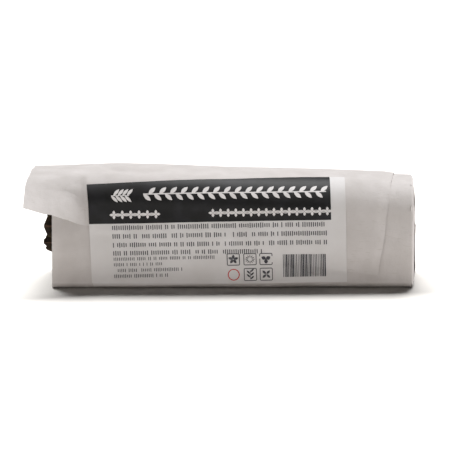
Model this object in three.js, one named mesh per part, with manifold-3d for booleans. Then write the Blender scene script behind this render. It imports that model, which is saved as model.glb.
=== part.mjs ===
// A herb smudge stick: seven leafy stems bound with cotton thread and rolled in one sheet of
// paper, which a label holds shut. Millimetres. X runs along the stick, -Y is its front and Z
// is up. The origin is on the table, under the middle of the roll.

import * as THREE from 'three';
import { mergeVertices } from 'three/addons/utils/BufferGeometryUtils.js';
import Module from 'manifold-3d';

const wasm = await Module();
wasm.setup();

// The roll of paper, measured over its outermost turn
const openEnd = -45.7;
const foldedEnd = 53.9;
const heightAtOpenEnd = 31.85;
const heightAtFoldedEnd = 28.65;
const widthAtOpenEnd = 30;
const widthAtFoldedEnd = 28;
const frontLowRadius = 2;
const frontTopRadiusAtOpenEnd = 7;
const frontTopRadiusAtFoldedEnd = 9;
const backTopRadius = 8;
const backLowRadius = 4.5;
const tightestBend = 0.35;
const sideSwell = 0.5;

// The top of the roll sags where the bundle thins out towards the open end
const sag = 1.9;
const sagStart = 22;
const sagEnd = 52;

const paperThickness = 0.6;
const turnGap = 0.15;
const turnPitch = paperThickness + turnGap;

// Where the sheet's side edges run, as [distance along the sheet, X]. The distance counts
// sides and corners back from the sheet's free end: 1 is the top of the front.
const leftEdge = [[0, -53.3], [1, -52.5], [2, -51.5], [3.2, -50], [4, -48.4], [5, -45.9], [8, openEnd]];
const innerTurnsEnd = 51.2;
const rightEdge = [[0, 43.6], [0.6, 45.3], [1.35, 46.7], [2.2, 47.7], [3.2, 48.6], [8.9, 50.6],
  [9.1, innerTurnsEnd]];
const sheetInnerEnd = 18.2;

// Height of the sheet's free end above the table, as [X, height]
const freeEnd = [[-53.8, 24.2], [-47.7, 22.1], [-45.7, 21.8], [-41.3, 20], [-38.6, 18.5], [-36.4, 17.7],
  [36, 4.6], [43.6, 3.5]];

// The corner at the open end stands away from the turn below it, left of a fold that starts
// at the label's top corner and spreads towards the free end
const flapStart = -36.4;
const flapTop = 2;
const flapLift = 6;
const foldNearest = 1;
const foldSpread = 5.2;
const foldTop = 1.5;
const foldShare = 0.72;
const flapFullLift = 12;
const flapInnerShare = 0.93;

// The folded end's closing cup, under its flaps
const cupStart = 50.2;
const cupDepth = 0.7;
const cupThickness = 0.7;
const cupRounding = 1.4;
const flapsOverCup = 0.6;

// The label
const labelThickness = 0.35;
const labelGap = 0.3;
const labelTop = [[-36.2, 3.44], [34.5, 4]];
const labelBottom = [[-34.3, 1.46], [35.2, 1.89]];

// The bundle of leafy stems, before it is pressed to the inside of the roll
const bundleTwist = THREE.MathUtils.degToRad(24);
const stemRadius = 1;
const stemCircle = 6.1;
const stemCutEnd = 50;
const stemTip = -41;
const stemSides = 6;
const stemSteps = 8;
const sideStems = 6;
const bundleSquareness = 2.8;
const looseTips = 0.2;
const leafThickness = 0.68;
const leafToothDepth = 0.17;
const leafEndWidth = 0.7;
const leafLength = 41;
const leafSpacing = 11;
const leavesOnStem = 7;
const firstLeaf = 34;
const leafSteps = 6;
const endLeafSteps = 8;
const leafRise = 1;
const leafClimb = 0.1;
const middleClimb = 0.08;
const bundleGap = 0.4;

// The cotton thread
const threadRadius = 0.5;
const threadCircle = 12.75;
const threadTurns = 3;
const threadSides = 5;
const threadStepsInTurn = 14;
const threadFirstRound = -38;
const threadLastRound = 45;
const roundPitch = 1.4;
const knotRadius = 1.3;

const { clamp, lerp, smoothstep: smooth } = THREE.MathUtils;
const quarterTurn = Math.PI / 2;

// Value at a place in a list of [place, value] pairs, on straight lines between them
function along(pairs, place) {
  let next = pairs.findIndex(([at]) => at > place);
  if (next < 0) return pairs.at(-1)[1];
  next = Math.max(next, 1);
  const [fromPlace, fromValue] = pairs[next - 1];
  const [toPlace, toValue] = pairs[next];
  return fromValue + (toValue - fromValue) * (place - fromPlace) / (toPlace - fromPlace);
}

// The roll narrows evenly from the open end to the folded one, apart from its sag
const endShare = (x) => (x - openEnd) / (foldedEnd - openEnd);
const sagAt = (x) => sag * smooth(-x, sagStart, sagEnd);
const heightAt = (x) => lerp(heightAtOpenEnd, heightAtFoldedEnd, endShare(x)) - sagAt(x);
const halfWidthAt = (x) => lerp(widthAtOpenEnd, widthAtFoldedEnd, endShare(x)) / 2;
const frontTopRadiusAt = (x) => lerp(frontTopRadiusAtOpenEnd, frontTopRadiusAtFoldedEnd, endShare(x));

// The section's four corners at X, the given depth below the outermost turn
function sectionCorners(x, depth) {
  const half = halfWidthAt(x) - depth;
  const top = heightAt(x) - depth;
  const [frontLow, frontTop, backTop, backLow] = [
    frontLowRadius, frontTopRadiusAt(x), backTopRadius, backLowRadius,
  ].map((radius) => Math.max(radius - depth, tightestBend));
  return [
    { y: -half + frontLow, z: depth + frontLow, radius: frontLow },
    { y: -half + frontTop, z: top - frontTop, radius: frontTop },
    { y: half - backTop, z: top - backTop, radius: backTop },
    { y: half - backLow, z: depth + backLow, radius: backLow },
  ];
}

// Girth counts round the section from the middle of the underside: 1-2 is the low front
// corner, 2-3 the front, 3-4 the top front corner, 4-5 the top, 5-6 the top back corner,
// 6-7 the back, 7-8 the low back corner and 9 the middle of the underside again.
const girthParts = 9;
const stepsInPart = [1, 4, 3, 4, 2, 4, 2, 4, 1];

// Point of the section at X, the given depth below the outermost turn
function rollPoint(x, girth, depth) {
  const corners = sectionCorners(x, depth);
  const round = THREE.MathUtils.euclideanModulo(girth, girthParts);
  const part = Math.floor(round);
  const share = round - part;
  const onCorner = (corner, angle) => [
    corner.y - corner.radius * Math.sin(angle),
    corner.z - corner.radius * Math.cos(angle),
  ];
  if (part % 2 === 1) {
    const number = (part - 1) / 2;
    return new THREE.Vector3(x, ...onCorner(corners[number], (number + share) * quarterTurn));
  }
  if (part === 0) return new THREE.Vector3(x, share * corners[0].y, depth);
  if (part === 8) return new THREE.Vector3(x, (1 - share) * corners[3].y, depth);
  const number = part / 2;
  const angle = number * quarterTurn;
  const from = onCorner(corners[number - 1], angle);
  const to = onCorner(corners[number], angle);
  const swell = sideSwell * Math.sin(Math.PI * share);
  return new THREE.Vector3(
    x,
    lerp(from[0], to[0], share) - swell * Math.sin(angle),
    lerp(from[1], to[1], share) - swell * Math.cos(angle),
  );
}

// Girth at which the sheet's free end lies, on the front
function freeEndGirth(x) {
  const front = heightAt(x) - frontLowRadius - frontTopRadiusAt(x);
  return 2 + (along(freeEnd, x) - frontLowRadius) / front;
}

// How much of its full lift the flap has at a place of the sheet
function liftShare(x, place) {
  const leftOfLabel = flapStart - x;
  if (leftOfLabel <= 0 || place >= flapTop) return 0;
  const fold = foldNearest + foldSpread * clamp(1 - place / foldTop, 0, 1);
  const pastFold = clamp((leftOfLabel - fold) / flapFullLift, 0, 1);
  return foldShare * smooth(leftOfLabel, 0, fold) + (1 - foldShare) * pastFold;
}

// How far the fully lifted flap stands out from a point of the roll. It leaves the rounded top
// corner where the straight line to its end touches it.
function flapReach(x, point) {
  const corner = sectionCorners(x, 0)[1];
  const end = { y: -halfWidthAt(x) - flapLift, z: along(freeEnd, x) };
  const toEnd = Math.atan2(end.z - corner.z, end.y - corner.y);
  const distance = Math.hypot(end.z - corner.z, end.y - corner.y);
  const touching = toEnd - Math.acos(corner.radius / distance);
  const touch = {
    y: corner.y + corner.radius * Math.cos(touching),
    z: corner.z + corner.radius * Math.sin(touching),
  };
  if (point.z >= touch.z) return 0;
  const line = lerp(touch.y, end.y, (touch.z - point.z) / (touch.z - end.z));
  return Math.max(0, point.y - line);
}

// Reverses the faces of a geometry that is inside out
function facingOut(geometry) {
  const index = geometry.index.array;
  const corner = (k) => new THREE.Vector3().fromBufferAttribute(geometry.attributes.position, index[k]);
  let volume = 0;
  for (let k = 0; k < index.length; k += 3) volume += corner(k).dot(corner(k + 1).cross(corner(k + 2)));
  if (volume < 0) index.reverse();
  return geometry;
}

function meshGeometry(points, index) {
  const geometry = new THREE.BufferGeometry().setFromPoints(points);
  geometry.setIndex(index);
  return facingOut(geometry);
}

// Closed thin body between two faces, each a grid of rows by columns of cells.
// pointAt(row, column, face) gives a corner, with face 0 outside and 1 inside.
function sheetGeometry(rows, columns, pointAt) {
  const points = [];
  const corner = [[], []];
  for (const face of [0, 1]) {
    for (let row = 0; row <= rows; row += 1) {
      corner[face].push([]);
      for (let column = 0; column <= columns; column += 1) {
        corner[face][row].push(points.length);
        points.push(pointAt(row, column, face));
      }
    }
  }
  const [outer, inner] = corner;
  const index = [];
  const quad = (a, b, c, d) => index.push(a, b, c, a, c, d);
  for (let row = 0; row < rows; row += 1) {
    for (let column = 0; column < columns; column += 1) {
      const [a, b] = [outer[row][column], outer[row + 1][column]];
      const [c, d] = [outer[row + 1][column + 1], outer[row][column + 1]];
      quad(a, b, c, d);
      const [e, f] = [inner[row][column], inner[row + 1][column]];
      const [g, h] = [inner[row + 1][column + 1], inner[row][column + 1]];
      index.push(e, g, f, e, h, g);
    }
  }
  for (let row = 0; row < rows; row += 1) {
    quad(outer[row + 1][0], outer[row][0], inner[row][0], inner[row + 1][0]);
    quad(outer[row][columns], outer[row + 1][columns], inner[row + 1][columns], inner[row][columns]);
  }
  for (let column = 0; column < columns; column += 1) {
    quad(outer[0][column], outer[0][column + 1], inner[0][column + 1], inner[0][column]);
    quad(outer[rows][column + 1], outer[rows][column], inner[rows][column], inner[rows][column + 1]);
  }
  return meshGeometry(points, index);
}

// Closed body through a list of rings of points, with a point at each end
function ringsGeometry(firstPoint, rings, lastPoint) {
  const points = [firstPoint, ...rings.flat(), lastPoint];
  const count = rings[0].length;
  const at = (ring, k) => 1 + ring * count + (k % count);
  const index = [];
  for (let k = 0; k < count; k += 1) {
    index.push(0, at(0, k + 1), at(0, k));
    for (let ring = 0; ring < rings.length - 1; ring += 1) {
      index.push(at(ring, k), at(ring, k + 1), at(ring + 1, k + 1));
      index.push(at(ring, k), at(ring + 1, k + 1), at(ring + 1, k));
    }
    index.push(at(rings.length - 1, k), at(rings.length - 1, k + 1), points.length - 1);
  }
  return meshGeometry(points, index);
}

function solidFrom(geometry) {
  geometry.deleteAttribute('normal');
  geometry.deleteAttribute('uv');
  const merged = facingOut(mergeVertices(geometry, 1e-4));
  return new wasm.Manifold(new wasm.Mesh({
    numProp: 3,
    vertProperties: new Float32Array(merged.attributes.position.array),
    triVerts: new Uint32Array(merged.index.array),
  }));
}

function fuse(geometries) {
  const { vertProperties, triVerts } = geometries.map(solidFrom).reduce((a, b) => a.add(b)).getMesh();
  const geometry = new THREE.BufferGeometry();
  geometry.setAttribute('position', new THREE.BufferAttribute(vertProperties, 3));
  geometry.setIndex(new THREE.BufferAttribute(triVerts, 1));
  return geometry;
}

function node(name, geometry, look) {
  geometry.computeVertexNormals();
  const mesh = new THREE.Mesh(geometry, new THREE.MeshStandardMaterial(look));
  mesh.name = name;
  return mesh;
}

// Places along the rolled sheet, from its free end to its inner end
function sheetStations() {
  const stations = [0, 1 / 3, 2 / 3];
  for (let place = 1; place < sheetInnerEnd; place += 1) {
    const steps = stepsInPart[(place + 2) % girthParts];
    for (let step = 0; step < steps; step += 1) stations.push(place + step / steps);
  }
  return stations.filter((place) => place < sheetInnerEnd).concat(sheetInnerEnd);
}

// The sheet steps in by one turn where it passes the low front corner
const lowFrontCorner = 8;
const turnsBelow = (place) =>
  clamp(place - lowFrontCorner, 0, 1) + clamp(place - lowFrontCorner - girthParts, 0, 1);

function sheetPoint(x, place, face) {
  const girth = place < 1 ? lerp(freeEndGirth(x), 3, place) : place + 2;
  const depth = turnPitch * turnsBelow(place);
  const point = rollPoint(x, girth, depth + paperThickness * face);
  const lifted = liftShare(x, place);
  if (lifted > 0) {
    const reach = flapReach(x, rollPoint(x, girth, depth));
    point.y -= lifted * reach * (face === 0 ? 1 : flapInnerShare);
  }
  return point;
}

function rolledSheet() {
  const stations = sheetStations();
  const flapRows = 6;
  const straightRows = [flapStart, -24, -12, 12, 36];
  const rows = flapRows + straightRows.length;
  return sheetGeometry(rows, stations.length - 1, (row, column, face) => {
    const place = stations[column];
    const left = along(leftEdge, place);
    const right = along(rightEdge, place);
    const straight = [...straightRows, right];
    const x = row < flapRows
      ? lerp(left, flapStart, row / flapRows)
      : straight[row - flapRows];
    return sheetPoint(x, place, face);
  });
}

// One ring round the section, for the folded end
function sectionRing(x, depth) {
  return stepsInPart.flatMap((steps, part) =>
    Array.from({ length: steps }, (_, step) => rollPoint(x, part + step / steps, depth)));
}

// The folded end closes the roll as a shallow cup with rounded edges
function foldedEndCup() {
  const wallFace = foldedEnd - flapsOverCup;
  const middle = (x) => new THREE.Vector3(x, 0, heightAt(x) / 2);
  const onRounding = (share, inset) => {
    const radius = cupRounding - inset;
    const angle = share * quarterTurn;
    return sectionRing(
      wallFace - cupRounding + radius * Math.sin(angle),
      cupDepth + cupRounding - radius * Math.cos(angle),
    );
  };
  const rings = [
    ...[1, 0.5, 0].map((share) => onRounding(share, cupThickness)),
    sectionRing(cupStart, cupDepth + cupThickness),
    sectionRing(cupStart, cupDepth),
    ...[0, 0.33, 0.67, 1].map((share) => onRounding(share, 0)),
  ];
  return ringsGeometry(middle(wallFace - cupThickness), rings, middle(wallFace));
}

// One folded flap on the end: a plate with its corners in the end's plane, as [Y, Z]
function endFlap(corners, face, thickness) {
  const shape = new THREE.Shape(corners.map(([y, z]) => new THREE.Vector2(y, z)));
  const plate = new THREE.ExtrudeGeometry(shape, { depth: thickness, bevelEnabled: false });
  const inPlace = new THREE.Matrix4().makeBasis(
    new THREE.Vector3(0, 1, 0), new THREE.Vector3(0, 0, 1), new THREE.Vector3(1, 0, 0));
  return plate.applyMatrix4(inPlace).translate(face - thickness, 0, 0);
}

// The front and back are tucked in first, then the top is folded down and the underside up
function endFlaps() {
  const inset = cupDepth + cupRounding + 0.2;
  const half = halfWidthAt(foldedEnd) - inset;
  const top = heightAt(foldedEnd) - inset;
  const bottom = inset;
  const side = (sign) => [
    [sign * half, bottom + 1.5], [sign * half, top - 1.5], [sign * 3.4, top - 8], [sign * 3.4, bottom + 8],
  ];
  const folded = [[-half + 1, top], [half - 1, top], [4.6, 12.2], [-4.6, 12.2]];
  const raised = [[-half + 1, bottom], [half - 1, bottom], [3.8, 15.6], [-3.8, 15.6]];
  return [
    endFlap(side(-1), foldedEnd - 0.4, 0.5),
    endFlap(side(1), foldedEnd - 0.4, 0.5),
    endFlap(folded, foldedEnd - 0.2, 0.7),
    endFlap(raised, foldedEnd, 0.9),
  ];
}

function paperWrap() {
  const geometry = fuse([rolledSheet(), foldedEndCup(), ...endFlaps()]);
  return node('paper_wrap', geometry, { color: 0xdcd6d4, roughness: 0.85, metalness: 0 });
}

// The label lies on the last turn and steps down past the sheet's free end
function label() {
  const rowsAbove = 8;
  const rowsBelow = 4;
  const columns = 8;
  const stepDown = 0.1;
  const geometry = sheetGeometry(rowsAbove + rowsBelow, columns, (row, column, face) => {
    const down = row / (rowsAbove + rowsBelow);
    const topX = lerp(labelTop[0][0], labelTop[1][0], column / columns);
    const bottomX = lerp(labelBottom[0][0], labelBottom[1][0], column / columns);
    const x = lerp(topX, bottomX, down);
    const top = along(labelTop, x) + sagAt(x) / (quarterTurn * frontTopRadiusAt(x));
    const bottom = along(labelBottom, x);
    const free = freeEndGirth(x);
    let girth = lerp(top, free, row / rowsAbove);
    if (row > rowsAbove) {
      girth = lerp(free - stepDown, bottom, (row - rowsAbove - 1) / (rowsBelow - 1));
    }
    const below = row > rowsAbove ? turnPitch * clamp(girth - 1, 0, 1) : 0;
    return rollPoint(x, girth, below - labelGap - (face === 0 ? labelThickness : 0));
  });
  return node('label', geometry, { color: 0xc9c4bf, roughness: 0.5, metalness: 0 });
}

// The bundle is round in its own measure and pressed into the square inside of the roll,
// and past the thread its tips stand looser
const inside = (size) => size - 2 * paperThickness - turnGap - bundleGap;
const bundleReach = threadCircle + threadRadius;
const axisHeight = (x) => heightAt(x) / 2;

function bundlePoint(x, radius, angle) {
  const turned = angle + bundleTwist * endShare(x);
  const [across, up] = [Math.cos(turned), Math.sin(turned)];
  const n = bundleSquareness;
  const toSquare = Math.pow(Math.abs(across) ** n + Math.abs(up) ** n, -1 / n);
  const reach = (radius / bundleReach) * toSquare * (1 + looseTips * smooth(-x, 40, 47));
  return new THREE.Vector3(
    x,
    reach * across * inside(halfWidthAt(x)),
    axisHeight(x) + reach * up * inside(axisHeight(x)),
  );
}

// How far past the paper a leaf tip reaches: the upper ones stand out furthest
const tipReach = (height) => openEnd + 0.5 - 2.8 * smooth(height, 3, 8);

// A leaf from its stem outwards: widest past its middle, blunt, with a toothed edge
function leaf({ root, circle, climb, angle, widest, limit, short, steps }) {
  const tipAt = bundlePoint(openEnd, circle + 3, angle);
  const tip = Math.max(root - leafLength, tipReach(tipAt.z) + short);
  const across = 2;
  return sheetGeometry(steps, across, (row, column, face) => {
    const share = row / steps;
    const x = lerp(root, tip, share);
    const tooth = row === steps ? leafEndWidth : 1 - leafToothDepth * (row % 2);
    const half = widest * (0.2 + 0.8 * Math.sin(0.85 * Math.PI * Math.pow(share, 0.8))) * tooth;
    const radius = circle + leafRise * Math.min(row, 1) + climb * (root - x);
    const spread = Math.min(half / Math.max(radius, 1), limit) * (column - 1);
    const curl = 0.35 * Math.abs(column - 1) * share;
    return bundlePoint(x, radius - curl + (0.5 - face) * leafThickness, angle + spread);
  });
}

class StemCurve extends THREE.Curve {
  constructor(radius, angle) {
    super();
    this.radius = radius;
    this.angle = angle;
  }

  getPoint(share) {
    return bundlePoint(lerp(stemCutEnd, stemTip, share), this.radius, this.angle);
  }
}

function roundSection(radius, sides) {
  const around = Array.from({ length: sides }, (_, k) => (2 * Math.PI * k) / sides);
  return new THREE.Shape(around.map((a) => new THREE.Vector2(radius * Math.cos(a), radius * Math.sin(a))));
}

const tube = (curve, radius, sides, steps) =>
  new THREE.ExtrudeGeometry(roundSection(radius, sides), { steps, extrudePath: curve });

// A share between 0 and 1 that differs from stem to stem and from leaf to leaf
const vary = (number, k) => (number * 0.37 + k * 0.61) % 1;

function leafyStem({ number, circle, climb, angle, leafAngle, limit }) {
  const pieces = [tube(new StemCurve(circle, angle), stemRadius, stemSides, stemSteps)];
  for (let k = 0; k < leavesOnStem; k += 1) {
    const root = firstLeaf - k * leafSpacing - 2 * vary(number, k);
    const widest = 5.1 + vary(number + 3, k);
    const short = 0.7 * vary(number, k + 5);
    const steps = root - leafLength < openEnd + 2 ? endLeafSteps : leafSteps;
    pieces.push(leaf({ root, circle, climb, angle: leafAngle(k), widest, limit, short, steps }));
  }
  return node(`leafy_stem_${number}`, fuse(pieces), { color: 0x3d372c, roughness: 0.9, metalness: 0 });
}

function leafyStems() {
  const goldenTurn = Math.PI * (3 - Math.sqrt(5));
  const sector = Math.PI / sideStems;
  const middle = { number: 1, circle: 0, climb: middleClimb, angle: 0, limit: 1.1 };
  const stems = [leafyStem({ ...middle, leafAngle: (k) => k * goldenTurn })];
  for (let k = 0; k < sideStems; k += 1) {
    const angle = sector * 2 * k;
    const leafAngle = (leafNumber) => angle + (leafNumber % 2 ? 0.02 : -0.02);
    const limit = sector - 0.05;
    stems.push(leafyStem({ number: k + 2, circle: stemCircle, climb: leafClimb, angle, leafAngle, limit }));
  }
  return stems;
}

class ThreadCurve extends THREE.Curve {
  constructor(fromX, toX, turns) {
    super();
    Object.assign(this, { fromX, toX, turns });
  }

  getPoint(share) {
    const x = lerp(this.fromX, this.toX, share);
    return bundlePoint(x, threadCircle, 2 * Math.PI * this.turns * share);
  }
}

// One thread: a round at the tips, a helix each way along the bundle, and two rounds and a
// knot at the cut ends
function bindingThread() {
  const windings = [
    [threadFirstRound, threadLastRound, threadTurns],
    [threadFirstRound, threadLastRound, -threadTurns],
    [threadFirstRound, threadFirstRound - 1.15 * roundPitch, 1.15],
    [threadLastRound, threadLastRound + 2.15 * roundPitch, 2.15],
  ];
  const windingTubes = windings.map(([fromX, toX, turns]) => {
    const steps = Math.round(Math.abs(turns) * threadStepsInTurn);
    return tube(new ThreadCurve(fromX, toX, turns), threadRadius, threadSides, steps);
  });
  const knot = new THREE.IcosahedronGeometry(knotRadius, 1);
  const knotAt = bundlePoint(threadLastRound + 1, threadCircle - 0.9, Math.PI / 4);
  knot.translate(knotAt.x, knotAt.y, knotAt.z);
  const geometry = fuse([...windingTubes, knot]);
  return node('binding_thread', geometry, { color: 0xd8cdb4, roughness: 0.9, metalness: 0 });
}

const smudgeStick = new THREE.Group();
smudgeStick.add(paperWrap(), label(), ...leafyStems(), bindingThread());

export default smudgeStick;
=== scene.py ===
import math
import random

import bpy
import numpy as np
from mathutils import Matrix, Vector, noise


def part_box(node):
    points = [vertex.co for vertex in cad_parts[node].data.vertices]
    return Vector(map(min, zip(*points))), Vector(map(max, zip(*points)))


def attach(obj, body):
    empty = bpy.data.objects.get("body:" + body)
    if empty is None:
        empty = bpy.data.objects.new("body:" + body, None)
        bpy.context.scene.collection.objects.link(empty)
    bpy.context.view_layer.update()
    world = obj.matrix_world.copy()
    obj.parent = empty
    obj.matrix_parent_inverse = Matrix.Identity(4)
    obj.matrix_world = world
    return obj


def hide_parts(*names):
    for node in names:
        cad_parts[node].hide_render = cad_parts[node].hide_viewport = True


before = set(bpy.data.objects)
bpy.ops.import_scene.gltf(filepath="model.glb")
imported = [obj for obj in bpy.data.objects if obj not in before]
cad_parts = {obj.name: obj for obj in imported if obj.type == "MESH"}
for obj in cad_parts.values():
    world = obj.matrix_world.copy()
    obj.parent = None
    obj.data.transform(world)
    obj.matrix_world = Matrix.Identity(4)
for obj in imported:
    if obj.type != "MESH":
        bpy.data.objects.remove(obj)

# The looks of a herb smudge stick: a rolled sheet of thin greyish paper with a label on its
# front, and the leafy stems and cotton thread that it holds. Shapes are worked out in
# millimetres and become metres where a mesh is made. X runs along the stick from its open
# leafy end to its folded end, -Y is its front and Z is up.

MM = 0.001
FULL_TURN = 2 * math.pi
QUARTER_TURN = math.pi / 2
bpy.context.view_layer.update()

# The roll of paper, measured over its outermost turn
OPEN_END = -45.7
FOLDED_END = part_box("paper_wrap")[1].x / MM
HEIGHT_AT_ENDS = (31.85, 28.65)
SAG = 1.9
SAG_REACH = (22.0, 52.0)
WIDTH_AT_ENDS = (30.0, 28.0)
FRONT_LOW = 2.0
FRONT_TOP_AT_ENDS = (7.0, 9.0)
BACK_TOP = 8.0
BACK_LOW = 4.5
SIDE_SWELL = 0.5
TURN_PITCH = 0.75
PAPER = 0.2
TIGHTEST_BEND = 0.35

# The sheet's side edges, as (place along the sheet, X). The place counts sides and corners
# back from the sheet's free end: 1 is the top of the front.
LEFT_EDGE = [(0, -53.3), (1, -53.0), (2, -52.2), (3.2, -50.6), (4, -48.8), (5, -45.9), (8, OPEN_END)]
RIGHT_EDGE = [(0, 43.6), (0.6, 45.3), (1.35, 46.7), (2.2, 47.7), (3.2, 48.6), (7.5, 50.4),
              (8, 52.9), (8.9, 52.9), (9.1, 51.2)]
INNER_END = 18.2

# Height of the sheet's free end above the table, as (X, height)
FREE_END = [(-53.8, 24.2), (-47.7, 22.1), (-45.7, 21.8), (-41.3, 20.0), (-38.6, 18.5), (-36.4, 17.7),
            (36, 4.6), (43.6, 3.5)]
FREE_END_PRESS = 0.2
FREE_END_PRESS_REACH = 5
RIGHT_EDGE_PRESS = 0.3
RIGHT_EDGE_PRESS_REACH = 3

# The corner at the open end, which stands away from the turn below it, left of a fold that
# starts at the label's top corner
FLAP_START = -36.4
FLAP_LIFT = 6.0
FLAP_BEND_IN = 3.5
FLAP_BEND_DROP = 0.3
FOLD_NEAREST = 1.0
FOLD_SPREAD = 5.2
FOLD_TOP = 1.5
FOLD_SHARE = 0.72
FLAP_FULL_LIFT = 12.0

# Soft folds pressed into the sheet: from (X, place) to (X, place), height and width
SOFT_FOLDS = [
    ((-34.5, 2.9), (-25, 1.95), -0.3, 1.5),
    ((-49, 1.2), (-38, 2.4), 0.12, 1.2),
    ((38, 0.9), (46, 0.62), 0.1, 0.9),
    ((40.5, 2.0), (47, 1.2), -0.1, 1.0),
    ((45, 9.6), (51, 9.9), 0.12, 1.0),
    ((47, 10.4), (52, 10.8), -0.15, 0.9),
]
# How many millimetres a place counts for, and how many widths from its line a fold ends
PLACE_LENGTH = 14
FOLD_REACH = 4

# The paper's unevenness: height and closeness of its waves. Buckles are longer along the roll
# than round it, and each turn of the sheet has waves of its own.
BROAD_WAVES = (0.22, 0.045)
BUCKLE_HEIGHT = 0.16
BUCKLES_ALONG = 0.06
BUCKLES_ROUND = 0.17
SMALL_WAVES = (0.035, 0.3)
WAVES_START = (11.3, 4.1)
WAVES_STEP = 31.7


def clamp(value, low=0.0, high=1.0):
    return max(low, min(high, value))


def mix(start, end, share):
    return start + (end - start) * share


def smooth(value, low, high):
    """Rises from 0 at low to 1 at high, level at both ends"""
    share = clamp((value - low) / (high - low))
    return share * share * (3 - 2 * share)


def along(pairs, place):
    """Value at a place in a list of (place, value) pairs, on straight lines between them"""
    return float(np.interp(place, [pair[0] for pair in pairs], [pair[1] for pair in pairs]))


def end_share(x):
    return (x - OPEN_END) / (FOLDED_END - OPEN_END)


def sag_at(x):
    """The top of the roll sags where the bundle thins out towards the open end"""
    return SAG * smooth(-x, *SAG_REACH)


def height_at(x):
    return mix(*HEIGHT_AT_ENDS, end_share(x)) - sag_at(x)


def half_width_at(x):
    return mix(*WIDTH_AT_ENDS, end_share(x)) / 2


def front_top_at(x):
    return mix(*FRONT_TOP_AT_ENDS, end_share(x))


def roll_corners(x, depth=0.0):
    """Centre (Y, Z) and radius of the section's four corners at X, the given depth below the
    outermost turn"""
    half, height = half_width_at(x) - depth, height_at(x)
    radii = [max(radius - depth, TIGHTEST_BEND)
             for radius in (FRONT_LOW, front_top_at(x), BACK_TOP, BACK_LOW)]
    front_low, front_top, back_top, back_low = radii
    return (
        (-half + front_low, depth + front_low, front_low),
        (-half + front_top, height - depth - front_top, front_top),
        (half - back_top, height - depth - back_top, back_top),
        (half - back_low, depth + back_low, back_low),
    )


def roll_point(x, girth, depth=0.0):
    """Point of the section at X, the given depth below the outermost turn. Girth counts round
    the section from the middle of the underside: 1-2 is the low front corner, 2-3 the front,
    3-4 the top front corner, 4-5 the top, 5-6 the top back corner, 6-7 the back, 7-8 the low
    back corner and 9 the middle of the underside again."""
    corners = roll_corners(x, depth)
    part, share = divmod(girth % 9, 1)
    part = int(part)

    def on_corner(number, angle):
        y, z, radius = corners[number]
        return y - radius * math.sin(angle), z - radius * math.cos(angle)

    if part % 2:
        number = part // 2
        return Vector((x, *on_corner(number, (number + share) * QUARTER_TURN)))
    if part == 0:
        return Vector((x, share * corners[0][0], depth))
    if part == 8:
        return Vector((x, (1 - share) * corners[3][0], depth))
    angle = part / 2 * QUARTER_TURN
    start, end = on_corner(part // 2 - 1, angle), on_corner(part // 2, angle)
    swell = SIDE_SWELL * math.sin(math.pi * share) ** 2
    return Vector((
        x,
        mix(start[0], end[0], share) - swell * math.sin(angle),
        mix(start[1], end[1], share) - swell * math.cos(angle),
    ))


def front_length(x):
    return height_at(x) - FRONT_LOW - front_top_at(x)


def free_end_girth(x):
    """Girth at which the sheet's free end lies, on the front"""
    return 2 + (along(FREE_END, x) - FRONT_LOW) / front_length(x)


def turns_below(place):
    """The sheet steps in by one turn where it passes the low front corner"""
    return clamp(place - 8) + clamp(place - 17)


def lift_share(x, place):
    """How much of its full lift the corner flap has at a place. The fold beside the label
    spreads away from it towards the free end."""
    left_of_label = FLAP_START - x
    if left_of_label <= 0 or place >= 2:
        return 0.0
    fold = FOLD_NEAREST + FOLD_SPREAD * clamp(1 - place / FOLD_TOP)
    past_fold = clamp((left_of_label - fold) / FLAP_FULL_LIFT)
    return FOLD_SHARE * min(1, left_of_label / fold) + (1 - FOLD_SHARE) * past_fold


def flap_point(x, place):
    """Point of the fully lifted flap, which bends away gently from the top of the roll"""
    half = half_width_at(x)
    start = roll_point(x, 4)
    bend = Vector((x, -half + FLAP_BEND_IN, height_at(x) - FLAP_BEND_DROP))
    end = Vector((x, -half - FLAP_LIFT, along(FREE_END, x)))
    share = 1 - place / 2
    return start.lerp(bend, share).lerp(bend.lerp(end, share), share)


def pressed(x, place):
    """How far the outer turn is pressed towards the turn below, at its free end and right edge"""
    if place > 8:
        return 0.0
    from_free_end = place * (3 - free_end_girth(x)) * front_length(x)
    from_right_edge = along(RIGHT_EDGE, place) - x
    at_free_end = 0
    if place < 1:
        at_free_end = FREE_END_PRESS * (1 - smooth(from_free_end, 0, FREE_END_PRESS_REACH))
    at_right_edge = RIGHT_EDGE_PRESS * (1 - smooth(from_right_edge, 0, RIGHT_EDGE_PRESS_REACH))
    return max(at_free_end, at_right_edge)


def sheet_point(x, place):
    """Point of the sheet's outer face, before its wrinkles"""
    girth = mix(free_end_girth(x), 3, place) if place < 1 else place + 2
    lifted = lift_share(x, place)
    depth = TURN_PITCH * turns_below(place) + pressed(x, place) * (1 - min(1, 3 * lifted))
    point = roll_point(x, girth, depth)
    return point.lerp(flap_point(x, place), lifted) if lifted else point


ROLL_MIDDLE = np.array([0, 0, 15])


def soft_folds(x, place):
    """Height of the soft folds at a place of the sheet"""
    total = 0.0
    spot = Vector((x, PLACE_LENGTH * place))
    for start, end, height, width in SOFT_FOLDS:
        first = Vector((start[0], PLACE_LENGTH * start[1]))
        last = Vector((end[0], PLACE_LENGTH * end[1]))
        share = clamp((spot - first).dot(last - first) / (last - first).length_squared)
        distance = (spot - first.lerp(last, share)).length
        if distance < FOLD_REACH * width:
            total += height * math.exp(-(distance / width) ** 2) * (1 - (2 * share - 1) ** 4)
    return total


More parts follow.
